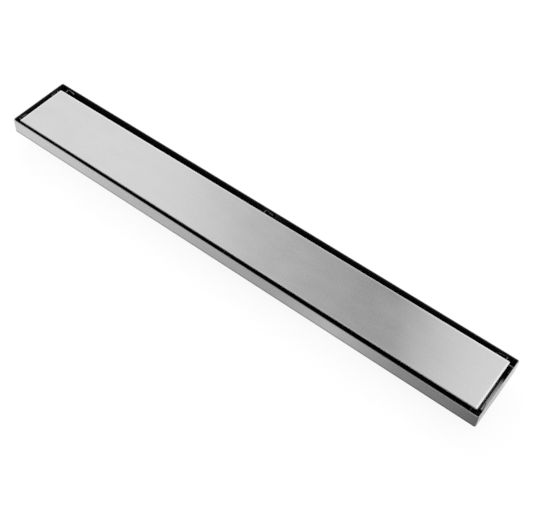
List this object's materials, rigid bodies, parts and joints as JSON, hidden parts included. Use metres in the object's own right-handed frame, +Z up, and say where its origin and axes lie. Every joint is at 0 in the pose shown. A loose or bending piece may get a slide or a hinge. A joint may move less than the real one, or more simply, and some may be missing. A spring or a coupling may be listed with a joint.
{
  "type": "tile insert floor drain",
  "caption": "Long stainless steel floor drain: a shallow folded channel with a round outlet under it, and a loose tile insert tray on bent feet, lying plain side up.",
  "frame": {"origin": "middle of the outlet pipe's lower end, which is also the bottom centre of the whole drain", "axes": "+X along the drain, +Y across it towards its back long side, +Z up through the insert's face"},
  "size_m": [0.9, 0.117, 0.053],
  "materials": {
    "channel_steel": "satin, brushed lengthwise",
    "outlet_steel": "mill finish tube",
    "insert_steel": "fine satin, brushed lengthwise",
    "foot_steel": "mill finish strip"
  },
  "bodies": {
    "root": {"channel": "channel_steel", "outlet_pipe": "outlet_steel", "insert_tray": "insert_steel", "foot_front_left": "foot_steel", "foot_back_left": "foot_steel", "foot_front_middle": "foot_steel", "foot_back_middle": "foot_steel", "foot_front_right": "foot_steel", "foot_back_right": "foot_steel", "foot_left_end_front": "foot_steel", "foot_left_end_back": "foot_steel", "foot_right_end_front": "foot_steel", "foot_right_end_back": "foot_steel"}
  },
  "joints": []
}
